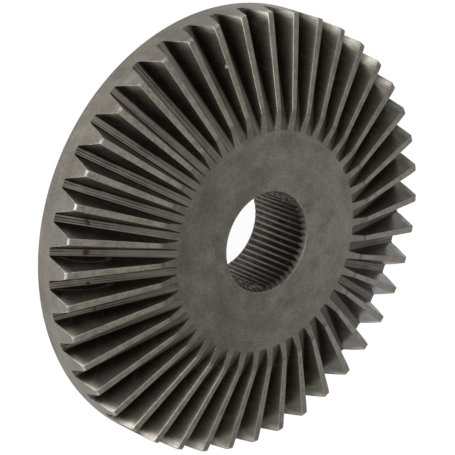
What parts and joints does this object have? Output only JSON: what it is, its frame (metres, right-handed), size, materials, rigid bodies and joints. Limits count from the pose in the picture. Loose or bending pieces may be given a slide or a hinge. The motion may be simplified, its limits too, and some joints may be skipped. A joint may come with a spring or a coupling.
{
  "type": "straight bevel gear",
  "caption": "Round steel crown wheel with straight bevel teeth around a flat front face, a plain cylindrical rim and a finely splined through bore.",
  "frame": {"origin": "centre of the back face", "axes": "+Z along the gear's axis, from the back face towards the teeth; the middle of a tooth slot is on +X"},
  "size_m": [0.225, 0.225, 0.0396],
  "materials": {
    "gear_steel": "machined and ground steel, lightly oiled, with small spots of rust in the tooth slots"
  },
  "bodies": {
    "root": {"bevel_gear": "gear_steel"}
  },
  "joints": []
}
